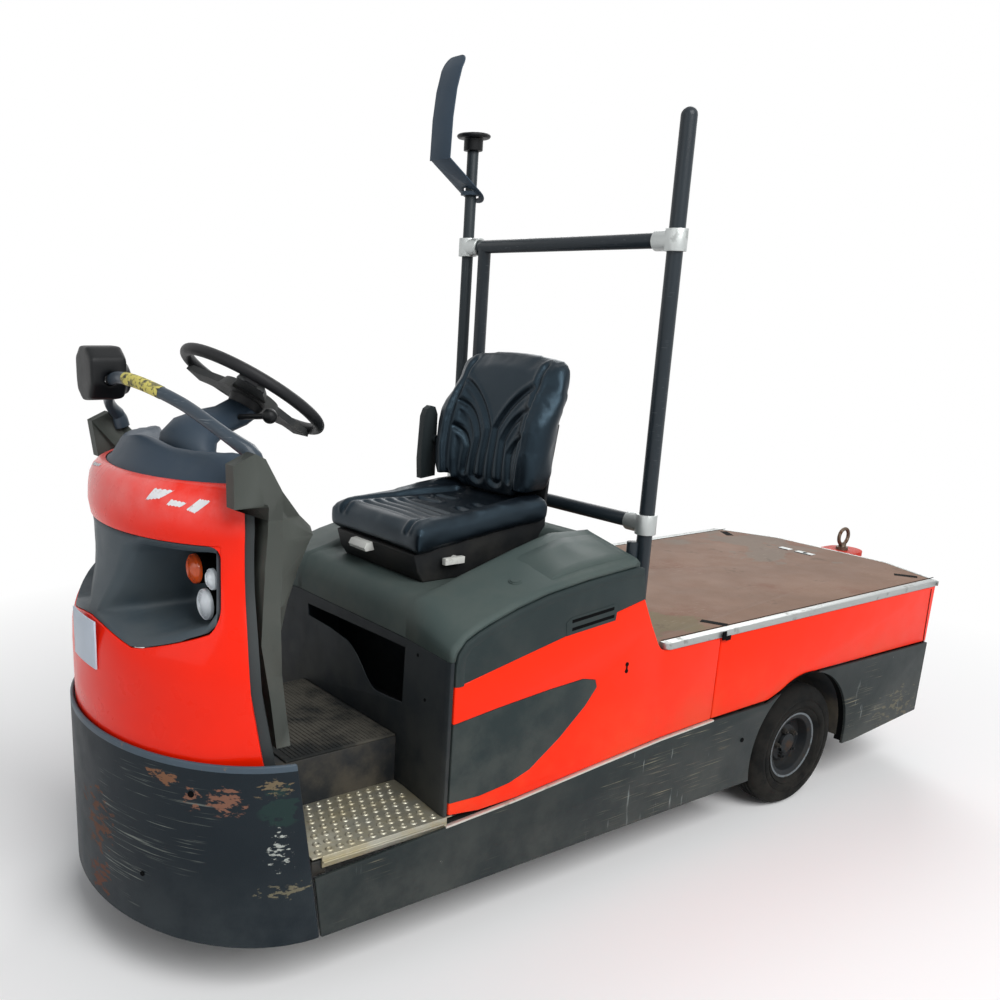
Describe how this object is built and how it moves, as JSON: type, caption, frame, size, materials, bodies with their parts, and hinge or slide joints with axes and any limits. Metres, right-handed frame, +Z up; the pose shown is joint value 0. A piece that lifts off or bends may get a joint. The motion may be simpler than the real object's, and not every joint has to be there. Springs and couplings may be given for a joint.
{
  "type": "electric baggage tow tractor with load deck",
  "caption": "Seated electric tow tractor with a wooden load deck behind the seat, bowed bumper and nose cowl, walk-through footwell, rear tube frame with mast, and tow coupling.",
  "frame": {"origin": "on the ground under the middle of the overall length and width", "axes": "+X forward to the bumper, +Y to the driver's left, +Z up"},
  "size_m": [3.267, 0.992, 2.341],
  "materials": {
    "red_paint": "gloss",
    "grey_plastic": "matte",
    "anthracite_sheet": "satin",
    "frame_steel": "satin",
    "battery_block": "matte",
    "axle_steel": "matte",
    "rim_paint": "satin",
    "tyre": "matte",
    "deck_aluminium": "satin",
    "deck_wood": "worn",
    "tow_paint": "worn",
    "worn_steel": "worn",
    "mat_rubber": "matte",
    "tread_plate": "worn",
    "hood_plastic": "satin",
    "seat_base": "matte",
    "seat_vinyl": "satin",
    "lever_plastic": "satin",
    "amber_lens": "gloss",
    "clear_lens": "gloss",
    "plate_white": "satin",
    "slate_plastic": "satin",
    "black_plastic": "satin",
    "tube_paint": "satin",
    "clamp_aluminium": "cast",
    "plate_paint": "satin"
  },
  "bodies": {
    "truck": {"chassis": "frame_steel", "wheel_tunnel": "frame_steel", "battery": "battery_block", "rear_axle": "axle_steel", "bumper": "anthracite_sheet", "skirts": "anthracite_sheet", "tail_skirt": "anthracite_sheet", "side_covers": "red_paint", "cover_trims": "grey_plastic", "rear_panels": "red_paint", "tail_panel": "red_paint", "deck_edge": "deck_aluminium", "deck_board": "deck_wood", "tow_jaw": "tow_paint", "tow_pin": "worn_steel", "floor_mat": "mat_rubber", "step_plates": "tread_plate", "seat_box_front": "grey_plastic", "seat_hood": "hood_plastic", "seat_base": "seat_base", "seat_cushion": "seat_vinyl", "seat_backrest": "seat_vinyl", "seat_wing": "grey_plastic", "seat_levers": "lever_plastic", "cowl": "red_paint", "cowl_trims": "grey_plastic", "lamp_mask": "grey_plastic", "indicator_lamps": "amber_lens", "head_lamps": "clear_lens", "nose_plate": "plate_white", "dash_top": "slate_plastic", "dash_back": "grey_plastic", "leg_shields": "hood_plastic", "hoop": "tube_paint", "rail_device": "black_plastic", "column": "slate_plastic", "selector": "black_plastic", "pedals": "frame_steel", "rear_frame": "tube_paint", "mast": "tube_paint", "tube_clamps": "clamp_aluminium", "glare_plate": "plate_paint", "beacon_base": "black_plastic"},
    "rear_left_wheel": {"rim_rear_left": "rim_paint", "tyre_rear_left": "tyre"},
    "rear_right_wheel": {"rim_rear_right": "rim_paint", "tyre_rear_right": "tyre"},
    "front_fork": {"steer_fork": "axle_steel"},
    "front_wheel": {"rim_front": "rim_paint", "tyre_front": "tyre"},
    "steering_wheel": {"steering_wheel": "black_plastic"}
  },
  "joints": [
    {"name": "rear_left_roll", "type": "hinge", "parent": "truck", "child": "rear_left_wheel", "pos_m": [-0.6355, 0.4265, 0.2125], "axis": [0, 1, 0], "continuous": true},
    {"name": "rear_right_roll", "type": "hinge", "parent": "truck", "child": "rear_right_wheel", "pos_m": [-0.6355, -0.4265, 0.2125], "axis": [0, 1, 0], "continuous": true},
    {"name": "front_steer", "type": "hinge", "parent": "truck", "child": "front_fork", "pos_m": [1.2645, 0, 0.2125], "axis": [0, 0, 1], "range_deg": [-70, 70]},
    {"name": "front_roll", "type": "hinge", "parent": "front_fork", "child": "front_wheel", "pos_m": [1.2645, 0, 0.2125], "axis": [0, 1, 0], "continuous": true},
    {"name": "steering_turn", "type": "hinge", "parent": "truck", "child": "steering_wheel", "pos_m": [1.1675, 0, 1.398], "axis": [-0.5402, 0, 0.8415], "range_deg": [-561, 561]}
  ],
  "couplings": [
    {"joint": "steering_turn", "follows": "front_steer", "ratio": 8}
  ]
}
